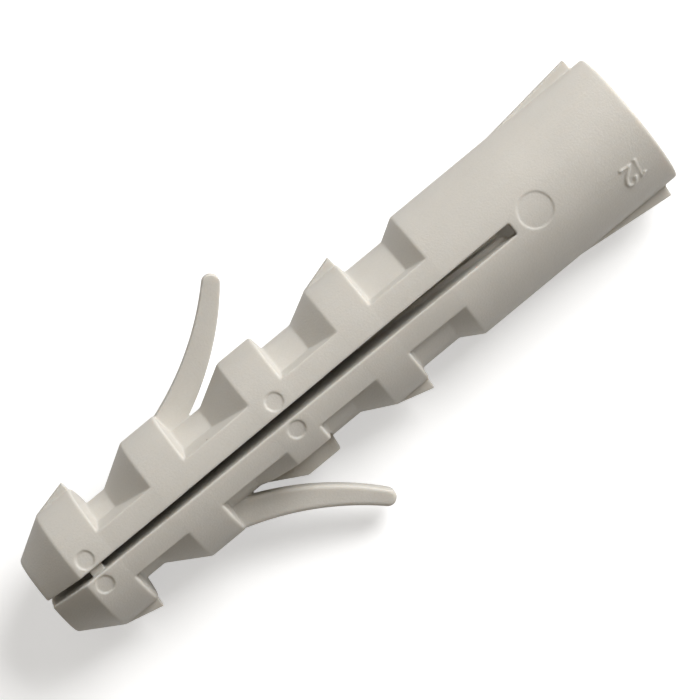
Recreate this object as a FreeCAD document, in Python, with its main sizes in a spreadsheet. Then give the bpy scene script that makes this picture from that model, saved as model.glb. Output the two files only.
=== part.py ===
import FreeCAD, Part

import math
import os

import Sketcher

# Nylon expansion plug for concrete, for a drilled hole of 12 mm, 60 mm long. It is one moulding: a
# tubular neck for the screw, then two halves with saw-toothed barbs, parted by a long slot, two
# curved spring wings that grip the hole, and small fins that keep the plug from turning.
#
# The plug is drawn with its axis along X, the tip at the origin and the rim of the neck at the far
# end. The slot lies in the XZ plane and the wings in the XY plane, where the mould parts. The two
# sides of the mould are alike, so what is on one side is on the other, half a turn about the axis,
# apart from the marks of the ejector pins, which are on the near side.
# The finished plug lies on its side, on Z = 0, rolled a little, with its middle over the origin.

# Driving sizes, in millimetres and degrees.
SIZES = {
    # Tip and barbs. A land is the barb's full-radius stretch; a floor is the bottom of the notch
    # behind it, measured from the barb's edge, and a ramp climbs from there to the next barb.
    "tip_radius": 3.63,
    "tip_cone_length": 3.33,
    "barb_1_radius": 5.63,
    "barb_1_land": 3.39,
    "notch_1_radius": 3.83,
    "notch_1_floor": 2.11,
    "ramp_1_length": 3.32,
    "barb_2_radius": 5.83,
    "barb_2_land": 3.43,
    "notch_2_radius": 3.93,
    "notch_2_floor": 3.15,
    "ramp_2_length": 3.40,
    "barb_3_radius": 5.85,
    "barb_3_land": 3.35,
    "notch_3_radius": 4.49,
    "notch_3_floor": 3.07,
    "ramp_3_length": 2.61,
    "barb_4_radius": 5.85,
    "barb_4_land": 3.34,
    "notch_4_radius": 4.93,
    "notch_4_floor": 3.90,
    "ramp_4_length": 1.80,
    "neck_radius": 6.00,
    "neck_length": 19.80,
    "barb_face_draft": 7.0,
    "notch_corner_radius": 0.40,
    # Spines: the strips beside the slot that bridge the notches, level with the lands.
    "spine_strip_width": 1.90,
    "spine_draft": 6.0,
    # Slot between the halves, which lean together towards the tip. At its neck end a window
    # opens into the bore; from there two lips close over the tapered end of the bore.
    "slot_width_tip": 0.60,
    "slot_width_neck": 1.10,
    "slot_into_neck": 6.70,
    "window_length": 0.65,
    "lip_length": 14.85,
    "lip_thickness": 0.30,
    "lip_gap": 0.16,
    # Bore for the screw, and the web that ties the halves at the tip.
    "bore_radius": 4.40,
    "bore_end_radius": 0.30,
    "mouth_chamfer": 0.40,
    "web_from_tip": 4.10,
    "web_length": 1.15,
    "web_below_land": 0.75,
    "web_height": 1.00,
    # Spring wings, and the flat recesses in the third barb that they fold into.
    "wing_width": 1.50,
    "wing_root_step": 0.15,
    "wing_reach": 10.27,
    "wing_spread": 11.12,
    "wing_tip_radius": 0.73,
    "wing_bend_radius": 25.0,
    "wing_gap_from_root": 1.90,
    "wing_edge_chamfer": 0.35,
    "recess_from_axis": 3.90,
    # Fins, rising from nothing at the end towards the tip.
    "fin_thickness": 0.80,
    "barb_1_fin_height": 0.76,
    "barb_4_fin_height": 0.88,
    "barb_fin_inset": 0.05,
    "neck_fin_height": 0.92,
    "neck_fin_length": 8.66,
    "neck_fin_from_rim": 1.14,
    # Round marks that the ejector pins leave.
    "mark_depth": 0.12,
    "neck_mark_radius": 1.50,
    "neck_mark_from_slot": 2.30,
    "barb_mark_radius": 0.75,
    "barb_1_mark_from_edge": 1.17,
    "barb_1_mark_offset": 1.25,
    "barb_3_mark_from_edge": 1.72,
    "barb_3_mark_offset": 1.42,
    # How far the plug rolls to one side where it lies.
    "lying_roll": 23.0,
}

# Places along the axis, each counted from the tip and worked out from the sizes.
PLACES = {
    "barb_1_start": "Sizes.tip_cone_length",
    "barb_1_end": "barb_1_start + Sizes.barb_1_land",
    "ramp_1_start": "barb_1_end + Sizes.notch_1_floor",
    "barb_2_start": "ramp_1_start + Sizes.ramp_1_length",
    "barb_2_end": "barb_2_start + Sizes.barb_2_land",
    "ramp_2_start": "barb_2_end + Sizes.notch_2_floor",
    "barb_3_start": "ramp_2_start + Sizes.ramp_2_length",
    "barb_3_end": "barb_3_start + Sizes.barb_3_land",
    "ramp_3_start": "barb_3_end + Sizes.notch_3_floor",
    "barb_4_start": "ramp_3_start + Sizes.ramp_3_length",
    "barb_4_end": "barb_4_start + Sizes.barb_4_land",
    "ramp_4_start": "barb_4_end + Sizes.notch_4_floor",
    "neck_start": "ramp_4_start + Sizes.ramp_4_length",
    "rim": "neck_start + Sizes.neck_length",
    "slot_end": "neck_start + Sizes.slot_into_neck",
    "window_start": "slot_end - Sizes.window_length",
    "lip_start": "window_start - Sizes.lip_length",
    "neck_fin_end": "rim - Sizes.neck_fin_from_rim",
    "neck_fin_start": "neck_fin_end - Sizes.neck_fin_length",
}

# How far a cutting solid runs past what it cuts, and a joined one into what carries it.
OVERRUN = 1.0
BURIED = 0.6
FIN_SUNK = 0.1

# Turned forms start their turn here, away from the slot, the wings and the recesses.
SEAM_TURN = -135.0

TOOTHED = (1, 2, 3, 4)
QUARTER_TURN = 90.0
THIRD_TURN = 120.0
HALF_TURN = 180.0
FULL_TURN = 360.0

# Edges count as lying on a place when they are this close to it.
CLOSE = 1e-4

document = FreeCAD.newDocument("expansion_plug")


def fill_sheet(name, cells):
    """Make a sheet with one named cell for each entry."""
    sheet = document.addObject("Spreadsheet::Sheet", name)
    for row, (alias, content) in enumerate(cells.items(), start=1):
        sheet.set(f"A{row}", alias)
        sheet.set(f"B{row}", str(content))
        sheet.setAlias(f"B{row}", alias)
    document.recompute()
    return sheet


sizes = fill_sheet("Sizes", SIZES)
places = fill_sheet("Places", {name: "=" + rule for name, rule in PLACES.items()})


def about_axis(turn):
    """Rotation about the plug's axis."""
    return FreeCAD.Rotation(FreeCAD.Vector(1, 0, 0), turn)


def new_sketch(name, rotation=FreeCAD.Rotation()):
    """Make a free sketch, on the XY plane unless it is turned."""
    sketch = document.addObject("Sketcher::SketchObject", name)
    sketch.Placement = FreeCAD.Placement(FreeCAD.Vector(), rotation)
    return sketch


def origin_item(body, role):
    """Find a plane or an axis of the body's origin by its role."""
    return next(item for item in body.Origin.OriginFeatures if item.Role == role)


def body_sketch(body, name, turn=0.0):
    """Make a sketch on the XY plane of the body, or turned from it about the axis."""
    sketch = body.newObject("Sketcher::SketchObject", name)
    sketch.AttachmentSupport = (origin_item(body, "XY_Plane"), [""])
    sketch.MapMode = "FlatFace"
    sketch.AttachmentOffset = FreeCAD.Placement(FreeCAD.Vector(), about_axis(turn))
    return sketch


def bind_constraint(sketch, constraint, rule):
    """Add a dimension to the sketch and bind it to the sheets."""
    index = sketch.addConstraint(constraint)
    sketch.setExpression(f"Constraints[{index}]", rule)


def lock_point(sketch, geometry, end, across, up):
    """Hold one end of a line or arc at the place that two rules give."""
    for axis, kind, rule in ((-2, "DistanceX", across), (-1, "DistanceY", up)):
        if rule == "0":
            sketch.addConstraint(Sketcher.Constraint("PointOnObject", geometry, end, axis))
        else:
            value = sketch.evalExpression(rule)
            bind_constraint(sketch, Sketcher.Constraint(kind, -1, 1, geometry, end, value), rule)


def draw_outline(sketch, corners):
    """Draw a closed outline of straight lines whose corners lie where the rules say."""
    points = [FreeCAD.Vector(*map(sketch.evalExpression, corner), 0) for corner in corners]
    first = sketch.GeometryCount
    for start, end in zip(points, points[1:] + points[:1]):
        sketch.addGeometry(Part.LineSegment(start, end))
    for side, (across, up) in enumerate(corners):
        following = first + (side + 1) % len(corners)
        sketch.addConstraint(Sketcher.Constraint("Coincident", first + side, 2, following, 1))
        lock_point(sketch, first + side, 1, across, up)
    return sketch


def extrude(name, sketch, forward, backward="0"):
    """Pull a sketch along its normal, by one length forward and another backward."""
    solid = document.addObject("Part::Extrusion", name)
    solid.Base = sketch
    solid.DirMode = "Normal"
    solid.Solid = True
    solid.setExpression("LengthFwd", forward)
    solid.setExpression("LengthRev", backward)
    return solid


def revolve(name, sketch):
    """Turn a sketch once about the plug's axis."""
    solid = document.addObject("Part::Revolution", name)
    solid.Source = sketch
    solid.Axis = FreeCAD.Vector(1, 0, 0)
    solid.Angle = FULL_TURN
    solid.Solid = True
    return solid


def join(name, kind, members):
    """Fuse or intersect several solids into one object."""
    joined = document.addObject(kind, name)
    joined.Shapes = members
    return joined


def cut(name, base, tool):
    """Cut one solid out of another."""
    result = document.addObject("Part::Cut", name)
    result.Base = base
    result.Tool = tool
    return result


def face_foot(number):
    """Rule for where the drafted back face of a barb meets the floor of its notch."""
    height = f"(Sizes.barb_{number}_radius - Sizes.notch_{number}_radius)"
    return f"Places.barb_{number}_end + {height} * tan(Sizes.barb_face_draft)"


def build_shank():
    """Turned form of the plug: tip, barbs, notches and neck, with rounded notch corners."""
    corners = [("0", "0"), ("0", "Sizes.tip_radius")]
    for number in TOOTHED:
        corners.append((f"Places.barb_{number}_start", f"Sizes.barb_{number}_radius"))
        corners.append((f"Places.barb_{number}_end", f"Sizes.barb_{number}_radius"))
        corners.append((face_foot(number), f"Sizes.notch_{number}_radius"))
        corners.append((f"Places.ramp_{number}_start", f"Sizes.notch_{number}_radius"))
    corners.append(("Places.neck_start", "Sizes.neck_radius"))
    corners += [("Places.rim", "Sizes.neck_radius"), ("Places.rim", "0")]

    body = document.addObject("PartDesign::Body", "shank")
    profile = draw_outline(body_sketch(body, "shank_profile", SEAM_TURN), corners)
    turned = body.newObject("PartDesign::Revolution", "turned_shank")
    turned.Profile = profile
    turned.ReferenceAxis = (profile, ["H_Axis"])
    turned.Angle = FULL_TURN
    document.recompute()

    feet = [(turned.evalExpression(face_foot(number)), sizes.get(f"notch_{number}_radius"))
            for number in TOOTHED]
    rounding = body.newObject("PartDesign::Fillet", "notch_corners")
    rounding.Base = (turned, circles_at(turned.Shape, feet))
    rounding.setExpression("Radius", "Sizes.notch_corner_radius")
    document.recompute()
    return body


def circles_at(shape, stations):
    """Names of the circular edges that stand round the axis at the given places and radii."""
    names = []
    for index, edge in enumerate(shape.Edges, start=1):
        if isinstance(edge.Curve, Part.Circle):
            found = (edge.Curve.Center.x, edge.Curve.Radius)
            if any(math.dist(found, station) < CLOSE for station in stations):
                names.append(f"Edge{index}")
    return names


def build_spines():
    """Strips beside the slot that bridge the notches on the near and the far side."""
    corners = [(f"Places.barb_1_end - {BURIED}", "0")]
    for number in TOOTHED:
        radius = f"Sizes.barb_{number}_radius"
        start = f"Places.barb_1_end - {BURIED}" if number == 1 else f"Places.barb_{number}_start"
        corners.append((start, radius))
        corners.append((f"Places.barb_{number}_end", radius))
    corners.append((f"Places.neck_start + {BURIED}", "Sizes.neck_radius"))
    corners.append((f"Places.neck_start + {BURIED}", "0"))
    profile = draw_outline(new_sketch("spine_envelope_profile", about_axis(SEAM_TURN)), corners)
    envelope = revolve("spine_envelope", profile)

    sections = []
    for station, shift in (("barb_1_end", -BURIED), ("neck_start", BURIED)):
        across_axis = FreeCAD.Rotation(FreeCAD.Vector(1, 1, 1), THIRD_TURN)
        sketch = new_sketch(f"spine_section_{station}", across_axis)
        sketch.setExpression(".Placement.Base.x", f"Places.{station} + ({shift})")
        top = f"({slot_half_width(f'Places.{station}')} + Sizes.spine_strip_width)"
        waist = f"({top} + Sizes.neck_radius * tan(Sizes.spine_draft))"
        draw_outline(sketch, [
            (top, "Sizes.neck_radius"), (waist, "0"), (top, "-Sizes.neck_radius"),
            (f"-{top}", "-Sizes.neck_radius"), (f"-{waist}", "0"), (f"-{top}", "Sizes.neck_radius"),
        ])
        sections.append(sketch)
    slab = document.addObject("Part::Loft", "spine_slab")
    slab.Sections = sections
    slab.Solid = True
    slab.Ruled = True
    return join("spines", "Part::MultiCommon", [envelope, slab])


def slot_half_width(place):
    """Rule for half the slot's width at a place along the axis."""
    growth = "(Sizes.slot_width_neck - Sizes.slot_width_tip) / Places.slot_end"
    return f"(Sizes.slot_width_tip + {growth} * {place}) / 2"


def circle_meeting(first, first_radius, second, second_radius):
    """Point at the given distances from two points, on the left of the line between them."""
    span = second - first
    along = (first_radius ** 2 - second_radius ** 2 + span.Length ** 2) / (2 * span.Length)
    aside = math.sqrt(first_radius ** 2 - along ** 2)
    forward = FreeCAD.Vector(span).normalize()
    return first + forward * along + FreeCAD.Vector(-forward.y, forward.x, 0) * aside


def arc_between(centre, start, end):
    """Arc about a centre from one point to another, drawn the short way round."""
    circle = Part.Circle(centre, FreeCAD.Vector(0, 0, 1), start.distanceToPoint(centre))
    angles = [math.atan2(point.y - centre.y, point.x - centre.x) for point in (start, end)]
    return Part.ArcOfCircle(circle, *angles)


def build_wing(name, turn):
    """Curved spring wing, rooted on the back of the second barb, flat where the mould parts."""
    body = document.addObject("PartDesign::Body", name)
    body.Placement.Rotation = about_axis(turn)
    sketch = body_sketch(body, f"{name}_outline")
    value = {alias: sizes.get(alias) for alias in SIZES}
    root_place = places.get("barb_2_end")
    bend, tip_radius = value["wing_bend_radius"], value["wing_tip_radius"]

    outer_root = FreeCAD.Vector(root_place, value["barb_2_radius"] - value["wing_root_step"], 0)
    inner_root = FreeCAD.Vector(root_place + value["wing_gap_from_root"], value["notch_2_radius"], 0)
    tip = FreeCAD.Vector(root_place + value["wing_reach"], value["wing_spread"], 0)
    outer_centre = circle_meeting(outer_root, bend, tip, bend + tip_radius)
    inner_centre = circle_meeting(inner_root, bend, tip, bend - tip_radius)
    outer_tip = tip + (outer_centre - tip).normalize() * tip_radius
    inner_tip = tip - (inner_centre - tip).normalize() * tip_radius

    outer = sketch.addGeometry(arc_between(outer_centre, outer_root, outer_tip))
    end = sketch.addGeometry(arc_between(tip, inner_tip, outer_tip))
    inner = sketch.addGeometry(arc_between(inner_centre, inner_root, inner_tip))
    buried = [
        ("Places.barb_2_end + Sizes.wing_gap_from_root", f"Sizes.notch_2_radius - {BURIED}"),
        (f"Places.barb_2_end - {BURIED}", f"Sizes.notch_2_radius - {BURIED}"),
        (f"Places.barb_2_end - {BURIED}", f"Sizes.barb_2_radius - Sizes.wing_root_step - {BURIED}"),
    ]
    hidden = [FreeCAD.Vector(*map(sketch.evalExpression, corner), 0) for corner in buried]
    for start, finish in zip([inner_root] + hidden, hidden + [outer_root]):
        sketch.addGeometry(Part.LineSegment(start, finish))

    sketch.addConstraint(Sketcher.Constraint("Tangent", outer, 2, end, 2))
    sketch.addConstraint(Sketcher.Constraint("Tangent", inner, 2, end, 1))
    sketch.addConstraint(Sketcher.Constraint("Coincident", inner, 1, inner + 1, 1))
    for line in range(inner + 1, inner + 4):
        sketch.addConstraint(Sketcher.Constraint("Coincident", line, 2, line + 1, 1))
        lock_point(sketch, line, 2, *buried[line - inner - 1])
    sketch.addConstraint(Sketcher.Constraint("Coincident", inner + 4, 2, outer, 1))
    lock_point(sketch, outer, 1, "Places.barb_2_end", "Sizes.barb_2_radius - Sizes.wing_root_step")
    lock_point(sketch, inner, 1, "Places.barb_2_end + Sizes.wing_gap_from_root", "Sizes.notch_2_radius")
    lock_point(sketch, end, 3, "Places.barb_2_end + Sizes.wing_reach", "Sizes.wing_spread")
    bind_constraint(sketch, Sketcher.Constraint("Radius", end, tip_radius), "Sizes.wing_tip_radius")
    for arc in (outer, inner):
        bind_constraint(sketch, Sketcher.Constraint("Radius", arc, bend), "Sizes.wing_bend_radius")

    pad = body.newObject("PartDesign::Pad", f"{name}_pad")
    pad.Profile = sketch
    pad.Reversed = True
    pad.setExpression("Length", "Sizes.wing_width")
    document.recompute()
    edges = body.newObject("PartDesign::Chamfer", f"{name}_edges")
    edges.Base = (pad, far_arcs(pad.Shape, -value["wing_width"]))
    edges.setExpression("Size", "Sizes.wing_edge_chamfer")
    document.recompute()
    return body


def far_arcs(shape, height):
    """Names of the round edges that lie flat at the given height."""
    names = []
    for index, edge in enumerate(shape.Edges, start=1):
        off_level = max(abs(edge.BoundBox.ZMin - height), abs(edge.BoundBox.ZMax - height))
        if isinstance(edge.Curve, Part.Circle) and off_level < CLOSE:
            names.append(f"Edge{index}")
    return names


def build_fins(name, turn):
    """Row of fins on one side: on the first barb, the fourth barb and the neck."""
    sketch = new_sketch(f"{name}_outline", about_axis(turn))
    inset = "Sizes.barb_fin_inset"
    rows = (
        ("Places.barb_1_start", f"Places.barb_1_end - {inset}", "Sizes.barb_1_radius",
         "Sizes.barb_1_fin_height"),
        ("Places.barb_4_start", f"Places.barb_4_end - {inset}", "Sizes.barb_4_radius",
         "Sizes.barb_4_fin_height"),
        ("Places.neck_fin_start", "Places.neck_fin_end", "Sizes.neck_radius", "Sizes.neck_fin_height"),
    )
    for start, end, radius, height in rows:
        crest = f"{end} - {height} * tan(Sizes.barb_face_draft)"
        draw_outline(sketch, [
            (start, f"{radius} - {BURIED}"), (end, f"{radius} - {BURIED}"), (end, radius),
            (crest, f"{radius} + {height}"), (start, f"{radius} - {FIN_SUNK}"),
        ])
    return extrude(name, sketch, "0", "Sizes.fin_thickness")


def build_webs():
    """Thin ties across the slot near the tip, one on each side."""
    webs = []
    for name, turn in (("web_near", 0.0), ("web_far", HALF_TURN)):
        upper = "(Sizes.barb_1_radius - Sizes.web_below_land)"
        sketch = new_sketch(f"{name}_outline", about_axis(QUARTER_TURN + turn))
        draw_outline(sketch, [
            ("Sizes.web_from_tip", upper), ("Sizes.web_from_tip + Sizes.web_length", upper),
            ("Sizes.web_from_tip + Sizes.web_length", f"{upper} - Sizes.web_height"),
            ("Sizes.web_from_tip", f"{upper} - Sizes.web_height"),
        ])
        webs.append(extrude(name, sketch, "Sizes.slot_width_neck", "Sizes.slot_width_neck"))
    return webs


def build_slot():
    """Slot between the halves: narrower at the tip, with the lips left standing over the bore."""
    reach = f"(Sizes.neck_radius + {OVERRUN})"
    lip_inner = "(Sizes.bore_end_radius + Sizes.lip_thickness)"
    lip_outer = "(Sizes.bore_radius + Sizes.lip_thickness)"
    side = new_sketch("slot_side_view", about_axis(QUARTER_TURN))
    draw_outline(side, [
        (f"-{OVERRUN}", f"-{reach}"), ("Places.slot_end", f"-{reach}"),
        ("Places.slot_end", reach), (f"-{OVERRUN}", reach),
    ])
    draw_outline(side, [
        ("Places.lip_start", f"-{lip_inner}"), ("Places.window_start", f"-{lip_outer}"),
        ("Places.window_start", lip_outer), ("Places.lip_start", lip_inner),
    ])
    depth = extrude("slot_depth", side, "Sizes.slot_width_neck", "Sizes.slot_width_neck")

    plan = new_sketch("slot_plan")
    tip_side = slot_half_width(f"(-{OVERRUN})")
    neck_side = slot_half_width("Places.slot_end")
    draw_outline(plan, [
        (f"-{OVERRUN}", f"-({tip_side})"), ("Places.slot_end", f"-({neck_side})"),
        ("Places.slot_end", neck_side), (f"-{OVERRUN}", tip_side),
    ])
    width = extrude("slot_width", plan, reach, reach)
    wide = join("wide_slot", "Part::MultiCommon", [depth, width])

    seam_plan = new_sketch("lip_seam_plan")
    seam_start = f"Places.lip_start - {BURIED}"
    draw_outline(seam_plan, [
        (seam_start, "-Sizes.lip_gap / 2"), ("Places.window_start", "-Sizes.lip_gap / 2"),
        ("Places.window_start", "Sizes.lip_gap / 2"), (seam_start, "Sizes.lip_gap / 2"),
    ])
    seam = extrude("lip_seam", seam_plan, reach, reach)

    mouth_plan = new_sketch("lip_mouth_plan")
    half = "(Sizes.slot_width_neck / 2)"
    middle = "Places.window_start + Sizes.window_length / 2"
    draw_outline(mouth_plan, [
        (f"Places.window_start - {half}", "0"), (middle, f"-{half}"), (middle, half),
    ])
    mouth = extrude("lip_mouth", mouth_plan, reach, reach)
    return join("slot", "Part::MultiFuse", [wide, seam, mouth])


def build_bore():
    """Bore for the screw: straight in the neck, then tapering under the lips."""
    profile = new_sketch("bore_profile", about_axis(SEAM_TURN))
    draw_outline(profile, [
        ("Places.lip_start", "0"), ("Places.lip_start", "Sizes.bore_end_radius"),
        ("Places.window_start", "Sizes.bore_radius"),
        ("Places.rim - Sizes.mouth_chamfer", "Sizes.bore_radius"),
        (f"Places.rim + {OVERRUN}", f"Sizes.bore_radius + Sizes.mouth_chamfer + {OVERRUN}"),
        (f"Places.rim + {OVERRUN}", "0"),
    ])
    return revolve("bore", profile)


def build_recess(name, turn):
    """Flat seat in the third barb, where the wing folds away."""
    reach = f"(Sizes.neck_radius + {OVERRUN})"
    sketch = new_sketch(f"{name}_outline", about_axis(turn))
    start, end = "Places.ramp_2_start", f"Places.barb_3_end + {BURIED}"
    draw_outline(sketch, [
        (start, "Sizes.recess_from_axis"), (end, "Sizes.recess_from_axis"), (end, reach), (start, reach),
    ])
    return extrude(name, sketch, "0", reach)


def build_marks():
    """Round ejector-pin marks on the near side, each sunk evenly below the surface round it."""
    rows = (
        ("neck_mark", "Places.slot_end + Sizes.neck_mark_from_slot", "0", "neck_mark_radius", "neck_radius"),
        ("barb_1_mark_a", "Places.barb_1_start + Sizes.barb_1_mark_from_edge", "Sizes.barb_1_mark_offset",
         "barb_mark_radius", "barb_1_radius"),
        ("barb_1_mark_b", "Places.barb_1_start + Sizes.barb_1_mark_from_edge", "-Sizes.barb_1_mark_offset",
         "barb_mark_radius", "barb_1_radius"),
        ("barb_3_mark_a", "Places.barb_3_start + Sizes.barb_3_mark_from_edge", "Sizes.barb_3_mark_offset",
         "barb_mark_radius", "barb_3_radius"),
        ("barb_3_mark_b", "Places.barb_3_start + Sizes.barb_3_mark_from_edge", "-Sizes.barb_3_mark_offset",
         "barb_mark_radius", "barb_3_radius"),
    )
    marks = []
    for name, along, aside, pin_radius, surface_radius in rows:
        pin = document.addObject("Part::Cylinder", f"{name}_pin")
        pin.setExpression("Radius", f"Sizes.{pin_radius}")
        pin.setExpression("Height", f"Sizes.{surface_radius} + {OVERRUN}")
        pin.setExpression(".Placement.Base.x", along)
        pin.setExpression(".Placement.Base.y", aside)
        kept = document.addObject("Part::Cylinder", f"{name}_kept")
        kept.Placement.Rotation = FreeCAD.Rotation(FreeCAD.Vector(0, 1, 0), QUARTER_TURN)
        kept.setExpression("Radius", f"Sizes.{surface_radius} - Sizes.mark_depth")
        kept.setExpression("Height", "Places.rim")
        marks.append(cut(name, pin, kept))
    return marks


def check_objects():
    """Stop if any object of the document failed to build."""
    for item in document.Objects:
        if "Invalid" in item.State or "Error" in item.State:
            raise RuntimeError(f"{item.Name} did not build: {item.State}")


def write_part(part, label):
    """Check a finished sub-part and write it to a file named after it."""
    part.Label = label
    shape = part.Shape
    if shape.isNull() or not shape.isValid():
        raise RuntimeError(f"{label} has no valid shape")
    shape.exportStep(os.path.join("parts", f"{label}.step"))
    print(f"{label}: {len(shape.Solids)} solid, {shape.Volume:.1f} mm3, box {shape.BoundBox}")


recess_far = build_recess("recess_far", 0.0)
recess_near = build_recess("recess_near", HALF_TURN)
ribbed = join("ribbed_shank", "Part::MultiFuse", [build_shank(), build_spines()])
barbed = cut("barbed_shank", ribbed, join("recesses", "Part::MultiFuse", [recess_far, recess_near]))
opened = cut("split_shank", barbed, join("openings", "Part::MultiFuse", [build_slot(), build_bore()]))
wings = [build_wing("wing_a", 0.0), build_wing("wing_b", HALF_TURN)]
fins = [build_fins("fins_a", 0.0), build_fins("fins_b", HALF_TURN)]
moulded = join("moulded_plug", "Part::MultiFuse", [opened] + wings + fins + build_webs())
plug = cut("marked_plug", moulded, join("ejector_marks", "Part::MultiFuse", build_marks()))
plug.Refine = True
plug.Placement.Rotation = about_axis(sizes.get("lying_roll"))
plug.setExpression(".Placement.Rotation.Angle", "Sizes.lying_roll")
plug.setExpression(".Placement.Base.x", "-Places.rim / 2")
plug.setExpression(".Placement.Base.z", "Sizes.neck_radius")
document.recompute()

check_objects()
os.makedirs("parts", exist_ok=True)
write_part(plug, "plug_body")
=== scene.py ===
import logging
import math
from collections.abc import Callable
from dataclasses import dataclass, field
from enum import Enum

import bpy
from mathutils import Matrix, Vector


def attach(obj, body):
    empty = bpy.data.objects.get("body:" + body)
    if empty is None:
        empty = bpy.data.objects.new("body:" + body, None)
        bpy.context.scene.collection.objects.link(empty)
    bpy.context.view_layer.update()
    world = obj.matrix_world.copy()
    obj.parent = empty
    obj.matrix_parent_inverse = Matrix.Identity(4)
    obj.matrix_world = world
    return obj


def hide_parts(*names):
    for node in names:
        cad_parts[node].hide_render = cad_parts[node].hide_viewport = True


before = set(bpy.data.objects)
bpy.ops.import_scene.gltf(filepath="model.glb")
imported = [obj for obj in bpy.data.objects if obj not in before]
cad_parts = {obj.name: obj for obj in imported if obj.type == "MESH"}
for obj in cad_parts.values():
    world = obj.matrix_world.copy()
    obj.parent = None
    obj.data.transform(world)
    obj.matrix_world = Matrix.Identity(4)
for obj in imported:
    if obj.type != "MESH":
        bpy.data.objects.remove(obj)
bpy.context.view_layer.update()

# A nylon expansion plug for a 12 mm hole, lying on a pale table and seen from above. The plug is
# modelled in millimetres along its own axes: x runs from the tip to the rim, the wings stand to
# both sides along y, and z points away from the table. When it is finished it is scaled to metres,
# rolled and laid down where the frame has it.
LOG = logging.getLogger("expansion_plug")
MM = 0.001
BODY = "root"
NODE = "plug_body"
LYING_ROLL = math.radians(23.0)
BARB_FACE_DRAFT = math.tan(math.radians(7.0))
# Places nearer to each other than CLOSE are one place. REACH from the axis is outside the shank.
CLOSE = 1e-3
REACH = 8.0

Triple = tuple[float, float, float]
PlaceTest = Callable[[Vector], bool]


class Operation(Enum):
    """Ways to combine two solids."""

    JOIN = "UNION"
    CUT = "DIFFERENCE"
    KEEP_COMMON = "INTERSECT"


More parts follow.
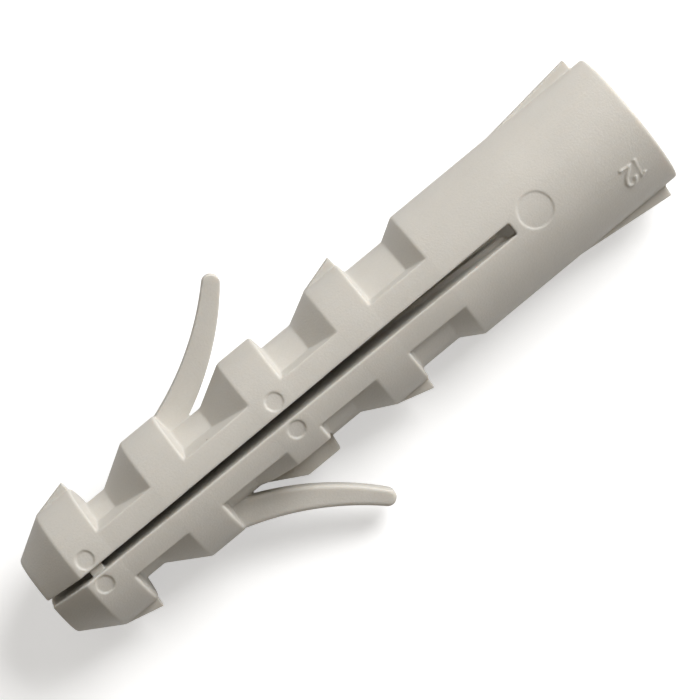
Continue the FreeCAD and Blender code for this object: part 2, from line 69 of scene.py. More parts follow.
class Bench:
    """Steps of modelling by hand that the parts of the plug share."""

    @staticmethod
    def deselect() -> None:
        """Drop the whole selection."""
        bpy.ops.object.select_all(action="DESELECT")

    @staticmethod
    def take(piece: bpy.types.Object) -> bpy.types.Object:
        """Make a piece the only selected and active one.

        Args:
            piece: Piece to take.

        Returns:
            The piece.
        """
        Bench.deselect()
        bpy.context.view_layer.objects.active = piece
        piece.select_set(True)
        return piece

    @staticmethod
    def settle(piece: bpy.types.Object) -> bpy.types.Object:
        """Apply a piece's place, turn and size to its mesh.

        Args:
            piece: Piece to settle.

        Returns:
            The piece.
        """
        Bench.take(piece)
        bpy.ops.object.transform_apply(location=True, rotation=True, scale=True)
        return piece

    @staticmethod
    def block(name: str, low: Triple, high: Triple) -> bpy.types.Object:
        """Add a block between two corners.

        Args:
            name: Name of the block.
            low: Its lowest corner.
            high: Its highest corner.

        Returns:
            The block, at the origin.
        """
        Bench.deselect()
        first, last = Vector(low), Vector(high)
        bpy.ops.mesh.primitive_cube_add(size=1.0, location=(first + last) / 2, scale=last - first)
        bpy.context.object.name = name
        return Bench.settle(bpy.context.object)

    @staticmethod
    def pick(piece: bpy.types.Object, wanted: PlaceTest) -> None:
        """Select the vertices for which a test holds, and stay in edit mode.

        Args:
            piece: Piece to work on.
            wanted: Test of a vertex's place.
        """
        Bench.take(piece)
        bpy.ops.object.mode_set(mode="EDIT")
        bpy.ops.mesh.select_mode(type="VERT")
        bpy.ops.mesh.select_all(action="DESELECT")
        bpy.ops.object.mode_set(mode="OBJECT")
        for vertex in piece.data.vertices:
            vertex.select = wanted(vertex.co)
        bpy.ops.object.mode_set(mode="EDIT")

    @staticmethod
    def shift(piece: bpy.types.Object, wanted: PlaceTest, step: Triple | Vector) -> None:
        """Move the vertices for which a test holds.

        Args:
            piece: Piece to work on.
            wanted: Test of a vertex's place.
            step: How far they move.
        """
        Bench.pick(piece, wanted)
        bpy.ops.transform.translate(value=step)
        bpy.ops.object.mode_set(mode="OBJECT")

    @staticmethod
    def spread(piece: bpy.types.Object, wanted: PlaceTest, factors: Triple) -> None:
        """Scale the vertices for which a test holds about the origin.

        Args:
            piece: Piece to work on.
            wanted: Test of a vertex's place.
            factors: Scale along each axis.
        """
        Bench.pick(piece, wanted)
        bpy.ops.transform.resize(value=factors, center_override=(0.0, 0.0, 0.0))
        bpy.ops.object.mode_set(mode="OBJECT")

    @staticmethod
    def round_edges(piece: bpy.types.Object, wanted: PlaceTest, width: float, strips: int) -> None:
        """Round the edges between the vertices for which a test holds.

        Args:
            piece: Piece to work on.
            wanted: Test of a vertex's place.
            width: How far from the edge the rounding starts.
            strips: How many strips make the rounding.
        """
        Bench.pick(piece, wanted)
        bpy.ops.mesh.select_mode(type="EDGE")
        bpy.ops.mesh.bevel(offset=width, segments=strips, affect="EDGES", clamp_overlap=False)
        bpy.ops.object.mode_set(mode="OBJECT")

    @staticmethod
    def combine(base: bpy.types.Object, tool: bpy.types.Object, operation: Operation) -> bpy.types.Object:
        """Combine a tool with a base and remove the tool.

        Args:
            base: Solid that is changed.
            tool: Solid that joins, cuts or bounds it.
            operation: How they are combined.

        Returns:
            The base.
        """
        Bench.take(base)
        modifier = base.modifiers.new(operation.name.lower(), "BOOLEAN")
        modifier.operation = operation.value
        modifier.solver = "EXACT"
        modifier.object = tool
        bpy.ops.object.modifier_apply(modifier=modifier.name)
        bpy.data.objects.remove(tool, do_unlink=True)
        return base

    @staticmethod
    def half_turn_copy(piece: bpy.types.Object) -> bpy.types.Object:
        """Copy a piece with its own mesh, half a turn about the plug's axis.

        Args:
            piece: Piece to copy.

        Returns:
            The copy.
        """
        Bench.take(piece)
        bpy.ops.object.duplicate(linked=False)
        twin = bpy.context.object
        twin.rotation_euler.x = math.pi
        return Bench.settle(twin)

    @staticmethod
    def merge(pieces: list[bpy.types.Object]) -> bpy.types.Object:
        """Put several pieces into the first one's mesh.

        Args:
            pieces: Pieces to merge.

        Returns:
            The first piece.
        """
        Bench.take(pieces[0])
        for piece in pieces[1:]:
            piece.select_set(True)
        bpy.ops.object.join()
        return pieces[0]


@dataclass
class Turning:
    """A solid turned about the plug's axis, given by its stations along the axis."""

    name: str
    stations: tuple[tuple[float, float], ...]
    segments: int = 192
    strips: int = 5

    def build(self) -> bpy.types.Object:
        """Pull a disc out from station to station and give each ring its radius.

        Returns:
            The turned solid.
        """
        (first, radius), *following = self.stations
        Bench.deselect()
        bpy.ops.mesh.primitive_circle_add(
            vertices=self.segments, radius=radius, fill_type="NGON",
            location=(first, 0.0, 0.0), rotation=(0.0, math.pi / 2, 0.0))
        piece = Bench.settle(bpy.context.object)
        piece.name = self.name
        bpy.ops.object.mode_set(mode="EDIT")
        bpy.ops.mesh.select_mode(type="FACE")
        bpy.ops.mesh.select_all(action="SELECT")
        place = first
        for station, new_radius in following:
            bpy.ops.mesh.extrude_region_move(
                TRANSFORM_OT_translate={"value": (station - place, 0.0, 0.0)})
            factor = new_radius / radius
            bpy.ops.transform.resize(value=(1.0, factor, factor), center_override=(station, 0.0, 0.0))
            place, radius = station, new_radius
        bpy.ops.mesh.select_all(action="SELECT")
        bpy.ops.mesh.normals_make_consistent(inside=False)
        bpy.ops.object.mode_set(mode="OBJECT")
        return piece

    def soften(self, piece: bpy.types.Object, station: tuple[float, float], width: float) -> None:
        """Round the ring at a station.

        Args:
            piece: The turned solid.
            station: Place along the axis and radius of the ring.
            width: How far from the ring the rounding starts.
        """
        place, radius = station

        def on_ring(co: Vector) -> bool:
            """True for a vertex on the ring."""
            return abs(co.x - place) < CLOSE and abs(math.hypot(co.y, co.z) - radius) < CLOSE

        Bench.round_edges(piece, on_ring, width, self.strips)


@dataclass(frozen=True)
class Barb:
    """One barb, with the notch and the ramp behind it."""

    start: float
    radius: float
    land: float
    notch_radius: float
    floor: float

    @property
    def end(self) -> float:
        """Place of the barb's back edge."""
        return self.start + self.land

    @property
    def foot(self) -> float:
        """Place where the barb's drafted back face meets the floor of its notch."""
        return self.end + (self.radius - self.notch_radius) * BARB_FACE_DRAFT

    @property
    def ramp_start(self) -> float:
        """Place where the floor of the notch ends."""
        return self.end + self.floor


BARBS = (
    Barb(start=3.33, radius=5.63, land=3.39, notch_radius=3.83, floor=2.11),
    Barb(start=12.15, radius=5.83, land=3.43, notch_radius=3.93, floor=3.15),
    Barb(start=22.13, radius=5.85, land=3.35, notch_radius=4.49, floor=3.07),
    Barb(start=31.16, radius=5.85, land=3.34, notch_radius=4.93, floor=3.90),
)


@dataclass
class Shank:
    """Turned form of the plug: tip, barbs, notches and neck."""

    tip_radius: float = 3.63
    neck_start: float = 40.20
    neck_radius: float = 6.00
    rim: float = 60.00
    tip_edge: float = 0.12
    land_edge: float = 0.10
    back_edge: float = 0.20
    notch_corner: float = 0.18
    rim_edge: float = 0.20

    def build(self) -> bpy.types.Object:
        """Turn the shank and round its rings.

        Returns:
            The shank.
        """
        stations = [(0.0, self.tip_radius)]
        rounded = [((0.0, self.tip_radius), self.tip_edge)]
        for barb in BARBS:
            ring = [(barb.start, barb.radius), (barb.end, barb.radius),
                    (barb.foot, barb.notch_radius), (barb.ramp_start, barb.notch_radius)]
            stations += ring
            widths = (self.land_edge, self.back_edge, self.notch_corner, self.land_edge)
            rounded += list(zip(ring, widths))
        stations += [(self.neck_start, self.neck_radius), (self.rim, self.neck_radius)]
        rounded += [((self.neck_start, self.neck_radius), self.land_edge),
                    ((self.rim, self.neck_radius), self.rim_edge)]
        turning = Turning("shank", tuple(stations))
        piece = turning.build()
        for station, width in rounded:
            turning.soften(piece, station, width)
        return piece


@dataclass
class Spines:
    """Strips beside the slot that bridge the notches, level with the lands."""

    strip_width: float = 1.90
    draft: float = math.tan(math.radians(6.0))
    buried: float = 0.60
    sunk: float = 0.01
    overhang: float = 0.10

    def build(self, slot: "Slot", shank: Shank) -> bpy.types.Object:
        """Turn the envelope of the lands and keep what lies in a drafted slab.

        Args:
            slot: Slot between the strips.
            shank: Shank that the strips stand on.

        Returns:
            The spines.
        """
        start, end = BARBS[0].end - self.buried, shank.neck_start + self.buried
        lands = [(start, BARBS[0].end, BARBS[0].radius),
                 *((barb.start, barb.end, barb.radius) for barb in BARBS[1:]),
                 (shank.neck_start, end, shank.neck_radius)]
        stations = [(place, radius - self.sunk) for first, last, radius in lands for place in (first, last)]
        envelope = Turning("spines", tuple(stations)).build()

        # The slab reaches 1 mm to each side until its ends and its waist get their own widths.
        low, high = start - self.overhang, end + self.overhang
        slab = Bench.block("spine_slab", (low, -1.0, -shank.neck_radius), (high, 1.0, shank.neck_radius))
        Bench.take(slab)
        bpy.ops.object.mode_set(mode="EDIT")
        bpy.ops.mesh.select_all(action="SELECT")
        bpy.ops.mesh.bisect(plane_co=(0.0, 0.0, 0.0), plane_no=(0.0, 0.0, 1.0))
        bpy.ops.object.mode_set(mode="OBJECT")
        middle = (start + end) / 2
        for place, nearer in ((low, lambda co: co.x < middle), (high, lambda co: co.x > middle)):
            top = slot.half_width(place) + self.strip_width
            waist = top + shank.neck_radius * self.draft
            Bench.spread(slab, lambda co: nearer(co) and abs(co.z) > CLOSE, (1.0, top, 1.0))
            Bench.spread(slab, lambda co: nearer(co) and abs(co.z) < CLOSE, (1.0, waist, 1.0))
        return Bench.combine(envelope, slab, Operation.KEEP_COMMON)


@dataclass
class Slot:
    """Slot between the two halves, with the window and the lips at its neck end."""

    width_tip: float = 0.60
    width_neck: float = 1.10
    end: float = 46.90
    window_start: float = 46.25
    lip_start: float = 31.40
    lip_inner: float = 0.60
    lip_outer: float = 4.70
    lip_gap: float = 0.16
    mouth_depth: float = 0.55
    mouth_point: float = 0.02
    start: float = -1.0
    past_wall: float = 2.0
    past_lip_start: float = 0.60
    past_window: float = 0.01

    def half_width(self, place: float) -> float:
        """Half the slot's width at a place along the axis."""
        return (self.width_tip + (self.width_neck - self.width_tip) / self.end * place) / 2

    def cutters(self) -> list[bpy.types.Object]:
        """Make the solids that open the slot.

        Returns:
            The slot without its lips, the seam between the lips and their slanted mouth.
        """
        # Blocks that reach 1 mm from the axis are spread to their own sizes at each end.
        wide = Bench.block("slot_width", (self.start, -1.0, -REACH), (self.end, 1.0, REACH))
        for at_end, place in ((False, self.start), (True, self.end)):
            half = self.half_width(place)
            Bench.spread(wide, lambda co: (co.x > 0.0) == at_end, (1.0, half, 1.0))
        lips = Bench.block("lips", (self.lip_start, -self.past_wall, -1.0),
                           (self.window_start, self.past_wall, 1.0))
        middle = (self.lip_start + self.window_start) / 2
        Bench.spread(lips, lambda co: co.x < middle, (1.0, 1.0, self.lip_inner))
        Bench.spread(lips, lambda co: co.x > middle, (1.0, 1.0, self.lip_outer))
        wide = Bench.combine(wide, lips, Operation.CUT)

        half_gap = self.lip_gap / 2
        seam = Bench.block("lip_seam", (self.lip_start - self.past_lip_start, -half_gap, -REACH),
                           (self.window_start + self.past_window, half_gap, REACH))
        back = (self.window_start + self.end) / 2
        mouth = Bench.block("lip_mouth", (self.window_start - self.mouth_depth, -self.mouth_point, -REACH),
                            (back, self.mouth_point, REACH))
        opening = self.mouth_depth / self.mouth_point
        Bench.spread(mouth, lambda co: co.x > self.window_start, (1.0, opening, 1.0))
        return [wide, seam, mouth]


@dataclass
class Bore:
    """Bore for the screw: straight in the neck, then tapering under the lips."""

    radius: float = 4.40
    end_radius: float = 0.30
    mouth_chamfer: float = 0.40
    past_rim: float = 1.0

    def cutter(self, slot: Slot, shank: Shank) -> bpy.types.Object:
        """Turn the solid that opens the bore.

        Args:
            slot: Slot, whose lips the bore tapers under.
            shank: Shank that the bore opens.

        Returns:
            The solid.
        """
        outside = self.radius + self.mouth_chamfer + self.past_rim
        return Turning("bore", (
            (slot.lip_start, self.end_radius), (slot.window_start, self.radius),
            (shank.rim - self.mouth_chamfer, self.radius), (shank.rim + self.past_rim, outside),
        )).build()


@dataclass
class Wing:
    """Curved spring wing, rooted on the back of the second barb, flat where the mould parts."""

    width: float = 1.50
    root_step: float = 0.15
    reach: float = 10.27
    spread: float = 11.08
    tip_radius: float = 0.73
    bend_radius: float = 25.0
    gap_from_root: float = 1.90
    rounding: float = 0.32
    rounding_strips: int = 4
    end_fullness: float = 0.96
    end_strips: int = 8
    buried: float = 0.60
    root_lean: float = 0.70
    steps: int = 32
    heading_digits: int = 5
    flat_angle: float = math.radians(0.05)

    @staticmethod
    def circle_meeting(first: Vector, first_radius: float, second: Vector, second_radius: float) -> Vector:
        """Point at given distances from two points, on the left of the line between them.

        Args:
            first: One point.
            first_radius: Distance from it.
            second: The other point.
            second_radius: Distance from that.

        Returns:
            The point.
        """
        span = second - first
        along = (first_radius ** 2 - second_radius ** 2 + span.length_squared) / (2 * span.length)
        aside = math.sqrt(first_radius ** 2 - along ** 2)
        forward = span.normalized()
        return first + forward * along + Vector((-forward.y, forward.x, 0.0)) * aside

    def build(self) -> bpy.types.Object:
        """Sweep the wing along its bend, then give it its taper, round end and rounded far edges.

        Returns:
            The wing.
        """
        barb = BARBS[1]
        outer_root = Vector((barb.end, barb.radius - self.root_step, 0.0))
        inner_root = Vector((barb.end + self.gap_from_root, barb.notch_radius, 0.0))
        tip = Vector((barb.end + self.reach, self.spread, 0.0))
        bend = self.bend_radius
        outer_centre = self.circle_meeting(outer_root, bend, tip, bend + self.tip_radius)
        inner_centre = self.circle_meeting(inner_root, bend, tip, bend - self.tip_radius)
        start = outer_root - outer_centre
        finish = tip - outer_centre
        turn = start.to_2d().angle_signed(finish.to_2d(), 0.0)
        outward = start.normalized()

        def inner_distance(heading: Vector) -> float:
            """Distance from the outer centre to the inner face along a heading."""
            to_inner = inner_centre - outer_centre
            along = heading.dot(to_inner)
            return along + math.sqrt(along ** 2 - to_inner.length_squared + bend ** 2)

        near, far = bend, inner_distance(outward)
        Bench.deselect()
        bpy.ops.mesh.primitive_plane_add(size=1.0)
        piece = bpy.context.object
        piece.name = "wing"
        up = Vector((0.0, 0.0, 1.0))
        section = Matrix((outward, up, outward.cross(up))).transposed()
        centre = outer_centre + outward * (near + far) / 2 - Vector((0.0, 0.0, self.width / 2))
        size = Vector((far - near, self.width, 1.0))
        piece.matrix_world = Matrix.LocRotScale(centre, section.to_quaternion(), size)
        Bench.settle(piece)
        self.sweep(piece, outer_centre, turn)
        self.bury_root(piece, start)
        self.taper(piece, outer_centre, near, inner_distance)
        self.finish_tip(piece, tip, finish)
        return piece

    def sweep(self, piece: bpy.types.Object, centre: Vector, turn: float) -> None:
        """Spin the root section about the centre of the bend.

        Args:
            piece: The wing's root section.
            centre: Centre of the bend.
            turn: Angle from the root to the tip.
        """
        Bench.take(piece)
        bpy.ops.object.mode_set(mode="EDIT")
        bpy.ops.mesh.select_all(action="SELECT")
        bpy.ops.mesh.spin(steps=self.steps, angle=turn, center=centre, axis=(0.0, 0.0, 1.0))
        bpy.ops.object.mode_set(mode="OBJECT")

    def bury_root(self, piece: bpy.types.Object, start: Vector) -> None:
        """Carry the root on into the barb.

        Args:
            piece: The wing.
            start: From the centre of the bend to the root.
        """
        barb = BARBS[1]
        along = Vector((-start.y, start.x, 0.0)).normalized()
        root = Vector((barb.end, barb.radius - self.root_step, 0.0))
        Bench.pick(piece, lambda co: abs((co - root).dot(along)) < CLOSE)
        inward = (-self.buried, -self.buried * self.root_lean, 0.0)
        bpy.ops.mesh.extrude_region_move(TRANSFORM_OT_translate={"value": inward})
        bpy.ops.object.mode_set(mode="OBJECT")

    def taper(self, piece: bpy.types.Object, centre: Vector, near: float,
              inner_distance: Callable[[Vector], float]) -> None:
        """Bring the inner face of each section to its place.

        Args:
            piece: The wing, swept at one thickness.
            centre: Centre of the outer face's bend.
            near: Distance of the outer face from it.
            inner_distance: Distance of the inner face from it, along a heading.
        """
        barb = BARBS[1]
        sections: dict[float, Vector] = {}
        for vertex in piece.data.vertices:
            arm = Vector((vertex.co.x, vertex.co.y, 0.0)) - centre
            if arm.length > near + CLOSE and vertex.co.x > barb.end:
                sections.setdefault(round(arm.y / arm.length, self.heading_digits), arm)
        for arm in sections.values():
            heading = arm.normalized()
            place = centre + arm
            step = heading * (inner_distance(heading) - arm.length)
            Bench.shift(piece, lambda co: math.hypot(co.x - place.x, co.y - place.y) < CLOSE, step)

    def finish_tip(self, piece: bpy.types.Object, tip: Vector, finish: Vector) -> None:
        """Round the end of the wing and its far edges.

        Args:
            piece: The wing, tapered.
            tip: Middle of its round end.
            finish: From the centre of the bend to the tip.
        """
        along = Vector((-finish.y, finish.x, 0.0)).normalized()
        Bench.pick(piece, lambda co: abs((co - tip).dot(along)) < CLOSE)
        bpy.ops.mesh.extrude_region_move(TRANSFORM_OT_translate={"value": along * self.tip_radius})
        bpy.ops.mesh.select_all(action="SELECT")
        bpy.ops.mesh.normals_make_consistent(inside=False)
        bpy.ops.object.mode_set(mode="OBJECT")
        nearby = self.tip_radius / 3
        for side in (-1.0, 1.0):
            corner = tip + along * self.tip_radius + finish.normalized() * side * self.tip_radius
            Bench.round_edges(piece, lambda co: math.hypot(co.x - corner.x, co.y - corner.y) < nearby,
                              self.tip_radius * self.end_fullness, self.end_strips)
        Bench.take(piece)
        bpy.ops.object.mode_set(mode="EDIT")
        bpy.ops.mesh.select_all(action="SELECT")
        bpy.ops.mesh.dissolve_limited(angle_limit=self.flat_angle)
        bpy.ops.object.mode_set(mode="OBJECT")
        Bench.round_edges(piece, lambda co: abs(co.z + self.width) < CLOSE, self.rounding,
                          self.rounding_strips)


@dataclass
class Fins:
    """Row of fins on one side, rising from nothing: on two barbs and on the neck."""

    thickness: float = 0.80
    inset: float = 0.05
    sunk: float = 0.03
    buried: float = 0.60
    barb_heights: tuple[tuple[int, float], ...] = ((0, 0.76), (3, 0.88))
    neck_height: float = 0.92
    neck_length: float = 8.66
    neck_from_rim: float = 1.14

    def build(self, shank: Shank) -> list[bpy.types.Object]:
        """Shape one wedge for each fin.

        Args:
            shank: Shank that the fins stand on.

        Returns:
            The fins.
        """
        rows = [(BARBS[index].start, BARBS[index].end - self.inset, BARBS[index].radius, height)
                for index, height in self.barb_heights]
        neck_end = shank.rim - self.neck_from_rim
        rows.append((neck_end - self.neck_length, neck_end, shank.neck_radius, self.neck_height))
        return [self.wedge(*row) for row in rows]

    def wedge(self, start: float, end: float, radius: float, height: float) -> bpy.types.Object:
        """Shape one fin.

        Args:
            start: Place along the axis where it rises.
            end: Place where it ends.
            radius: Radius of the surface that it stands on.
            height: Its height at the end.

        Returns:
            The fin.
        """
        crest = radius + height
        fin = Bench.block("fin", (start, radius - self.buried, -self.thickness), (end, crest, 0.0))
        middle = (start + end) / 2
        Bench.shift(fin, lambda co: co.y > radius and co.x < middle, (0.0, -height - self.sunk, 0.0))
        Bench.shift(fin, lambda co: co.y > radius, (-height * BARB_FACE_DRAFT, 0.0, 0.0))
        return fin


@dataclass
class Web:
    """Thin tie across the slot near the tip."""

    start: float = 4.10
    length: float = 1.15
    below_land: float = 0.75
    height: float = 1.00

    def build(self, slot: Slot) -> bpy.types.Object:
        """Add the tie."""
        top = BARBS[0].radius - self.below_land
        return Bench.block("web", (self.start, -slot.width_neck, top - self.height),
                           (self.start + self.length, slot.width_neck, top))


@dataclass
class Recess:
    """Flat seat in the third barb, where a wing folds away."""

    from_axis: float = 3.90
    past_barb: float = 0.05

    def cutter(self) -> bpy.types.Object:
        """Add the block that opens the seat."""
        return Bench.block("recess", (BARBS[1].ramp_start, self.from_axis, -REACH),
                           (BARBS[2].foot + self.past_barb, REACH, 0.0))


@dataclass(frozen=True)
class PinMark:
    """Round mark of an ejector pin, sunk evenly below the surface round it."""

    along: float
    aside: float
    pin_radius: float
    surface_radius: float
    depth: float = 0.12
    past_pin: float = 1.0
    segments: int = 72

    def cutter(self) -> bpy.types.Object:
        """Make the solid that sinks the mark.

        Returns:
            The pin, without what lies under the mark.
        """
        Bench.deselect()
        bpy.ops.mesh.primitive_cylinder_add(
            vertices=self.segments, radius=self.pin_radius, depth=self.surface_radius,
            location=(self.along, self.aside, self.surface_radius))
        pin = Bench.settle(bpy.context.object)
        margin = self.pin_radius + self.past_pin
        floor_radius = self.surface_radius - self.depth
        ends = (self.along - margin, self.along + margin)
        floor = Turning("mark_floor", tuple((place, floor_radius) for place in ends)).build()
        return Bench.combine(pin, floor, Operation.CUT)


@dataclass
class HoleSizeNumber:
    """Raised 12 on the neck: the hole's diameter in millimetres, drawn in round strokes."""

    along: float = 57.06
    round_axis: float = math.radians(27.5)
    stroke_radius: float = 0.17
    stroke_roundness: int = 3
    sunk: float = 0.04
    strokes: tuple[tuple[tuple[float, float], ...], ...] = (
        ((-0.84, 0.55), (-0.46, 0.86), (-0.64, -0.95)),
        ((0.01, 0.33), (0.08, 0.62), (0.30, 0.88), (0.58, 0.94), (0.81, 0.76), (0.87, 0.40),
         (0.70, 0.00), (0.31, -0.42), (-0.10, -0.80), (0.85, -0.87)),
    )

    def build(self, shank: Shank) -> list[bpy.types.Object]:
        """Lay the strokes on the neck.

        Args:
            shank: Shank that carries the number.

        Returns:
            The strokes, half sunk into the neck.
        """
        return [self.stroke(points, shank.neck_radius - self.sunk) for points in self.strokes]

    def stroke(self, points: tuple[tuple[float, float], ...], radius: float) -> bpy.types.Object:
        """Bend one stroke round the neck and give it its thickness.

        Args:
            points: Its corners, to the right and up as the number is read.
            radius: Distance of the stroke's middle from the plug's axis.

        Returns:
            The stroke.
        """
        Bench.deselect()
        bpy.ops.curve.primitive_nurbs_path_add()
        stroke = bpy.context.object
        stroke.name = "hole_size_stroke"
        stroke.data.splines.clear()
        line = stroke.data.splines.new("POLY")
        line.points.add(len(points) - 1)
        for point, (right, up) in zip(line.points, points):
            angle = self.round_axis + up / radius
            point.co = (self.along - right, -radius * math.sin(angle), radius * math.cos(angle), 1.0)
        stroke.data.bevel_depth = self.stroke_radius
        stroke.data.bevel_resolution = self.stroke_roundness
        stroke.data.use_fill_caps = True
        bpy.ops.object.convert(target="MESH")
        return Bench.settle(bpy.context.object)


class Shader:
    """A material's node tree, with short calls to add and join nodes."""

    def __init__(self, tree: bpy.types.NodeTree) -> None:
        """Take over a node tree and empty it."""
        self.tree = tree
        tree.nodes.clear()

    def add(self, kind: str, **settings: object) -> bpy.types.Node:
        """Add a node and set its properties.

        Args:
            kind: Node type.
            **settings: Properties of the node and their values.

        Returns:
            The new node.
        """
        node = self.tree.nodes.new(kind)
        for name, value in settings.items():
            setattr(node, name, value)
        return node

    def join(self, source: bpy.types.NodeSocket, target: bpy.types.NodeSocket) -> None:
        """Join an output to an input."""
        self.tree.links.new(source, target)


class SurfaceGroup(Shader):
    """Node group shared by moulded surfaces: flow marks, fine grain and one dark speck."""

    NOISE_MIDDLE: tuple[float, float] = (0.3, 0.7)

    def __init__(self, name: str) -> None:
        """Make the empty group."""
        super().__init__(bpy.data.node_groups.new(name, "ShaderNodeTree"))

    def offer(self, name: str, kind: str, value: object = None, output: bool = False) -> None:
        """Add a named input or output to the group.

        Args:
            name: Name of the socket.
            kind: Its type.
            value: Value that an input has while nothing is joined to it.
            output: True for an output.
        """
        side = "OUTPUT" if output else "INPUT"
        socket = self.tree.interface.new_socket(name, in_out=side, socket_type=kind)
        if value is not None:
            socket.default_value = value

    def noise(self, place: bpy.types.NodeSocket, per_mm: float, detail: float) -> bpy.types.NodeSocket:
        """Add an even noise between 0 and 1.

        Args:
            place: Place in millimetres.
            per_mm: How many cells fit in a millimetre.
            detail: How many finer layers it has.

        Returns:
            The noise.
        """
        node = self.add("ShaderNodeTexNoise")
        node.inputs["Scale"].default_value = per_mm
        node.inputs["Detail"].default_value = detail
        self.join(place, node.inputs["Vector"])
        return node.outputs["Fac"]

    def spread_over(self, value: bpy.types.NodeSocket, low: float, high: float) -> bpy.types.NodeSocket:
        """Spread the middle of a noise over a range.

        Args:
            value: The noise.
            low: What a low value becomes.
            high: What a high value becomes.

        Returns:
            The new value.
        """
        node = self.add("ShaderNodeMapRange")
        node.inputs["From Min"].default_value, node.inputs["From Max"].default_value = self.NOISE_MIDDLE
        node.inputs["To Min"].default_value = low
        node.inputs["To Max"].default_value = high
        self.join(value, node.inputs["Value"])
        return node.outputs["Result"]

    def product(self, first: bpy.types.NodeSocket, second: bpy.types.NodeSocket) -> bpy.types.NodeSocket:
        """Multiply two values.

        Args:
            first: One value.
            second: The other value.

        Returns:
            Their product.
        """
        node = self.add("ShaderNodeMath", operation="MULTIPLY")
        self.join(first, node.inputs[0])
        self.join(second, node.inputs[1])
        return node.outputs[0]


@dataclass(frozen=True)
class NylonFinish:
    """Light warm-grey moulded nylon with a fine even grain."""

    name: str = "light_grey_nylon"
    base_color: Triple = (0.60, 0.576, 0.53)
    speck_color: Triple = (0.10, 0.075, 0.05)
    speck_place: Triple = (17.88, 2.41, 4.95)
    speck_radius: float = 0.09
    speck_core: float = 0.6
    roughness: float = 0.48
    translucency: float = 0.45
    scatter_depth: float = 0.9 * MM
    scatter_by_color: Triple = (1.0, 0.85, 0.70)
    flow_per_mm: float = 0.16
    flow_detail: float = 2.0
    flow_tones: tuple[float, float] = (0.965, 1.025)
    flow_roughness: tuple[float, float] = (0.92, 1.08)
    grain_per_mm: float = 6.0
    grain_detail: float = 3.0
    grain_tones: tuple[float, float] = (0.98, 1.02)
    grain_height: float = 0.021 * MM
    grain_strength: float = 0.8

    def surface_group(self, speck: Vector) -> bpy.types.NodeTree:
        """Make the node group of the moulded surface.

        Args:
            speck: Place of the speck in millimetres.

        Returns:
            The group, with a color, a roughness and a height as outputs.
        """
        group = SurfaceGroup("moulded_surface")
        group.offer("Place", "NodeSocketVector")
        group.offer("Base Color", "NodeSocketColor", (*self.base_color, 1.0))
        group.offer("Base Roughness", "NodeSocketFloat", self.roughness)
        group.offer("Color", "NodeSocketColor", output=True)
        group.offer("Roughness", "NodeSocketFloat", output=True)
        group.offer("Height", "NodeSocketFloat", output=True)
        given = group.add("NodeGroupInput")
        result = group.add("NodeGroupOutput")

        flow = group.noise(given.outputs["Place"], self.flow_per_mm, self.flow_detail)
        grain = group.noise(given.outputs["Place"], self.grain_per_mm, self.grain_detail)
        tone = group.product(group.spread_over(flow, *self.flow_tones),
                             group.spread_over(grain, *self.grain_tones))
        toned = group.add("ShaderNodeVectorMath", operation="SCALE")
        group.join(given.outputs["Base Color"], toned.inputs[0])
        group.join(tone, toned.inputs["Scale"])

        distance = group.add("ShaderNodeVectorMath", operation="DISTANCE")
        distance.inputs[1].default_value = speck
        group.join(given.outputs["Place"], distance.inputs[0])
        mask = group.add("ShaderNodeMapRange")
        mask.inputs["From Min"].default_value = self.speck_radius * self.speck_core
        mask.inputs["From Max"].default_value = self.speck_radius
        mask.inputs["To Min"].default_value = 1.0
        mask.inputs["To Max"].default_value = 0.0
        group.join(distance.outputs["Value"], mask.inputs["Value"])
        speckled = group.add("ShaderNodeMix", data_type="RGBA")
        speckled.inputs["B"].default_value = (*self.speck_color, 1.0)
        group.join(mask.outputs["Result"], speckled.inputs["Factor"])
        plain = next(socket for socket in speckled.inputs if (socket.name, socket.type) == ("A", "RGBA"))
        mixed = next(socket for socket in speckled.outputs if socket.type == "RGBA")
        group.join(toned.outputs["Vector"], plain)

        roughness = group.product(given.outputs["Base Roughness"],
                                  group.spread_over(flow, *self.flow_roughness))
        group.join(mixed, result.inputs["Color"])
        group.join(roughness, result.inputs["Roughness"])
        group.join(grain, result.inputs["Height"])
        return group.tree

    def build(self, to_frame: Matrix) -> bpy.types.Material:
        """Make the material.

        Args:
            to_frame: Brings a place on the plug, in millimetres, to where it lies, in metres.

        Returns:
            The nylon material.
        """
        material = bpy.data.materials.new(self.name)
        material.use_nodes = True
        shader = Shader(material.node_tree)
        place = shader.add("ShaderNodeTexCoord")
        in_mm = shader.add("ShaderNodeVectorMath", operation="SCALE")
        in_mm.inputs["Scale"].default_value = 1.0 / MM
        shader.join(place.outputs["Object"], in_mm.inputs[0])
        moulded = shader.add("ShaderNodeGroup")
        moulded.node_tree = self.surface_group((to_frame @ Vector(self.speck_place)) / MM)
        shader.join(in_mm.outputs["Vector"], moulded.inputs["Place"])
        bump = shader.add("ShaderNodeBump")
        bump.inputs["Distance"].default_value = self.grain_height
        bump.inputs["Strength"].default_value = self.grain_strength
        shader.join(moulded.outputs["Height"], bump.inputs["Height"])

        surface = shader.add("ShaderNodeBsdfPrincipled")
        surface.inputs["Subsurface Weight"].default_value = self.translucency
        surface.inputs["Subsurface Scale"].default_value = self.scatter_depth
        surface.inputs["Subsurface Radius"].default_value = self.scatter_by_color
        shader.join(moulded.outputs["Color"], surface.inputs["Base Color"])
        shader.join(moulded.outputs["Roughness"], surface.inputs["Roughness"])
        shader.join(bump.outputs["Normal"], surface.inputs["Normal"])
        output = shader.add("ShaderNodeOutputMaterial")
        shader.join(surface.outputs["BSDF"], output.inputs["Surface"])
        return material


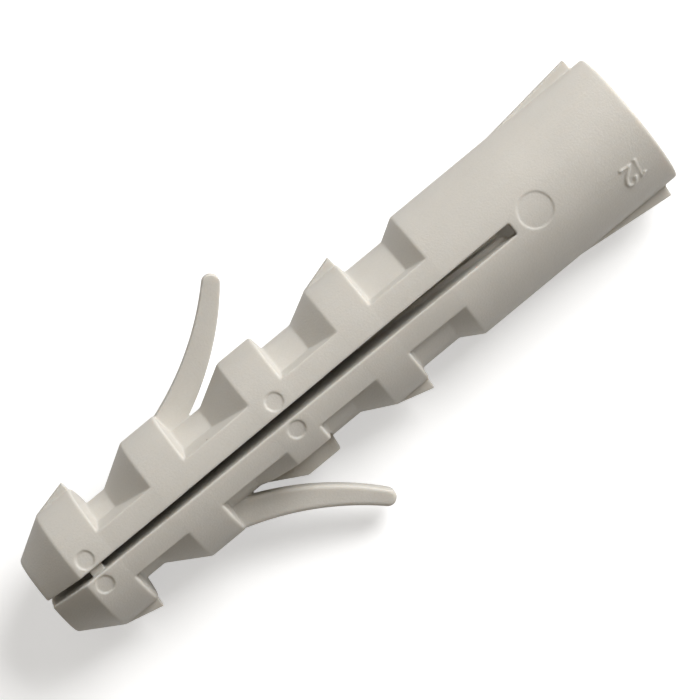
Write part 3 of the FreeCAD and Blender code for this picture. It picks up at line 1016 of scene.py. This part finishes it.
@dataclass
class PlugMoulding:
    """The whole plug: one moulding, with its edges softened as the mould leaves them."""

    name: str = "plug_moulding"
    shank: Shank = field(default_factory=Shank)
    slot: Slot = field(default_factory=Slot)
    spines: Spines = field(default_factory=Spines)
    bore: Bore = field(default_factory=Bore)
    wing: Wing = field(default_factory=Wing)
    fins: Fins = field(default_factory=Fins)
    web: Web = field(default_factory=Web)
    recess: Recess = field(default_factory=Recess)
    number: HoleSizeNumber = field(default_factory=HoleSizeNumber)
    marks: tuple[PinMark, ...] = (
        PinMark(along=49.20, aside=0.0, pin_radius=1.50, surface_radius=6.00, depth=0.09),
        PinMark(along=4.50, aside=1.25, pin_radius=0.75, surface_radius=5.63),
        PinMark(along=4.50, aside=-1.25, pin_radius=0.75, surface_radius=5.63),
        PinMark(along=23.85, aside=1.42, pin_radius=0.75, surface_radius=5.85),
        PinMark(along=23.85, aside=-1.42, pin_radius=0.75, surface_radius=5.85),
    )
    grain: float = 0.075
    quick_grain: float = 0.15
    smoothing_passes: int = 5
    triangles: int = 190_000
    finish: NylonFinish = field(default_factory=NylonFinish)

    def build(self) -> bpy.types.Object:
        """Model the plug, lay it down where the frame has it and dress it.

        Returns:
            The finished piece.
        """
        piece = Bench.combine(self.shank.build(), self.spines.build(self.slot, self.shank), Operation.JOIN)
        recess = self.recess.cutter()
        cutters = [recess, Bench.half_turn_copy(recess), *self.slot.cutters(),
                   self.bore.cutter(self.slot, self.shank), *(mark.cutter() for mark in self.marks)]
        for cutter in cutters:
            Bench.combine(piece, cutter, Operation.CUT)
        one_side = [self.wing.build(), *self.fins.build(self.shank), self.web.build(self.slot)]
        other_side = [Bench.half_turn_copy(part) for part in one_side]
        Bench.merge([piece, *one_side, *other_side, *self.number.build(self.shank)])
        self.fuse(piece)
        self.lay_down(piece)
        piece.name = self.name
        piece.data.materials.clear()
        piece.data.materials.append(self.finish.build(self.lying_place()))
        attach(piece, BODY)
        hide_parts(NODE)
        return piece

    def fuse(self, piece: bpy.types.Object) -> None:
        """Fuse the parts to one skin and soften every edge a little.

        Args:
            piece: The merged parts.
        """
        Bench.take(piece)
        fuse = piece.modifiers.new("fuse", "REMESH")
        fuse.mode = "VOXEL"
        fuse.voxel_size = self.grain
        bpy.ops.object.modifier_apply(modifier=fuse.name)
        soften = piece.modifiers.new("soften", "SMOOTH")
        soften.iterations = self.smoothing_passes
        bpy.ops.object.modifier_apply(modifier=soften.name)
        # The fused skin is of four-sided faces, so it has two triangles for each.
        found = 2 * len(piece.data.polygons)
        thin = piece.modifiers.new("thin", "DECIMATE")
        thin.ratio = min(1.0, self.triangles / found)
        bpy.ops.object.modifier_apply(modifier=thin.name)
        bpy.ops.object.shade_smooth()

    def lying_place(self) -> Matrix:
        """Matrix from millimetres along the plug's own axes to metres in the frame."""
        middle = Vector((-self.shank.rim / 2, 0.0, self.shank.neck_radius)) * MM
        return Matrix.Translation(middle) @ Matrix.Rotation(LYING_ROLL, 4, "X") @ Matrix.Scale(MM, 4)

    def lay_down(self, piece: bpy.types.Object) -> None:
        """Scale the plug to metres and put it where the frame has it."""
        piece.matrix_world = self.lying_place()
        Bench.settle(piece)


@dataclass
class Table:
    """Pale table top under the plug, white to the camera but for the shadow."""

    name: str = "table_top"
    half_width: float = 0.6
    color: Triple = (0.70, 0.70, 0.70)
    glow: float = 0.50

    def build(self) -> bpy.types.Object:
        """Make the table top.

        Returns:
            The table top.
        """
        Bench.deselect()
        bpy.ops.mesh.primitive_plane_add(size=2 * self.half_width)
        table = bpy.context.object
        table.name = self.name
        material = bpy.data.materials.new(self.name)
        material.use_nodes = True
        shader = Shader(material.node_tree)
        surface = shader.add("ShaderNodeBsdfDiffuse")
        surface.inputs["Color"].default_value = (*self.color, 1.0)
        glow = shader.add("ShaderNodeEmission")
        path = shader.add("ShaderNodeLightPath")
        strength = shader.add("ShaderNodeMath", operation="MULTIPLY")
        strength.inputs[1].default_value = self.glow
        shader.join(path.outputs["Is Camera Ray"], strength.inputs[0])
        shader.join(strength.outputs[0], glow.inputs["Strength"])
        total = shader.add("ShaderNodeAddShader")
        shader.join(surface.outputs[0], total.inputs[0])
        shader.join(glow.outputs[0], total.inputs[1])
        output = shader.add("ShaderNodeOutputMaterial")
        shader.join(total.outputs[0], output.inputs["Surface"])
        table.data.materials.append(material)
        return table


@dataclass(frozen=True)
class Softbox:
    """A square studio lamp that points at the plug."""

    name: str
    direction: Triple
    distance: float
    size: float
    power: float

    def build(self) -> bpy.types.Object:
        """Make the lamp.

        Returns:
            The lamp.
        """
        towards = Vector(self.direction).normalized()
        data = bpy.data.lights.new(self.name, "AREA")
        data.size = self.size
        data.energy = self.power
        lamp = bpy.data.objects.new(self.name, data)
        lamp.location = towards * self.distance
        lamp.rotation_euler = towards.to_track_quat("Z", "Y").to_euler()
        bpy.context.scene.collection.objects.link(lamp)
        return lamp


@dataclass
class Studio:
    """Table, lamps, room light and camera."""

    picture_pixels: float = 700.0
    sensor_width: float = 36.0
    pixels_per_mm: float = 12.53
    camera_distance: float = 0.313
    camera_clip: float = 0.01
    picture_turn: float = math.radians(39.54)
    seen_roll: float = math.radians(9.0)
    axis_height: float = 6.00 * MM
    aim: tuple[float, float] = (1.02 * MM, -0.13 * MM)
    room_light: float = 0.13
    room_color: Triple = (1.0, 0.88, 0.70)
    lamps: tuple[Softbox, ...] = (
        Softbox("key", direction=(0.730, 0.115, 0.674), distance=0.6, size=0.35, power=4.7),
        Softbox("fill", direction=(-0.10, 0.85, 0.52), distance=0.6, size=0.50, power=0.50),
    )

    def build(self) -> None:
        """Make everything round the plug."""
        Table().build()
        for lamp in self.lamps:
            lamp.build()
        self.light_room()
        self.place_camera()

    def light_room(self) -> None:
        """Light the room evenly."""
        world = bpy.data.worlds.new("room")
        world.use_nodes = True
        background = world.node_tree.nodes["Background"]
        background.inputs["Color"].default_value = (*self.room_color, 1.0)
        background.inputs["Strength"].default_value = self.room_light
        bpy.context.scene.world = world
        bpy.context.scene.view_settings.view_transform = "Standard"

    def place_camera(self) -> bpy.types.Object:
        """Look down on the plug as the photograph does, squarely on the plane of its axis.

        Returns:
            The camera.
        """
        lean = self.seen_roll - LYING_ROLL
        towards = Vector((0.0, math.sin(lean), math.cos(lean)))
        along = Vector((1.0, 0.0, 0.0))
        across = towards.cross(along)
        right = along * math.cos(self.picture_turn) - across * math.sin(self.picture_turn)
        axes = Matrix((right, towards.cross(right), towards)).transposed()
        target = Vector((0.0, 0.0, self.axis_height)) + along * self.aim[0] + across * self.aim[1]
        data = bpy.data.cameras.new("camera")
        data.sensor_width = self.sensor_width
        focal_pixels = self.pixels_per_mm / MM * self.camera_distance
        data.lens = focal_pixels / self.picture_pixels * self.sensor_width
        data.clip_start = self.camera_clip
        camera = bpy.data.objects.new("camera", data)
        camera.location = target + towards * self.camera_distance
        camera.rotation_euler = axes.to_euler()
        bpy.context.scene.collection.objects.link(camera)
        bpy.context.scene.camera = camera
        return camera


def main() -> None:
    """Build the plug and the studio."""
    logging.basicConfig(level=logging.INFO)
    piece = PlugMoulding().build()
    LOG.info("%s: %d faces", piece.name, len(piece.data.polygons))
    Studio().build()


if __name__ == "__main__":
    main()
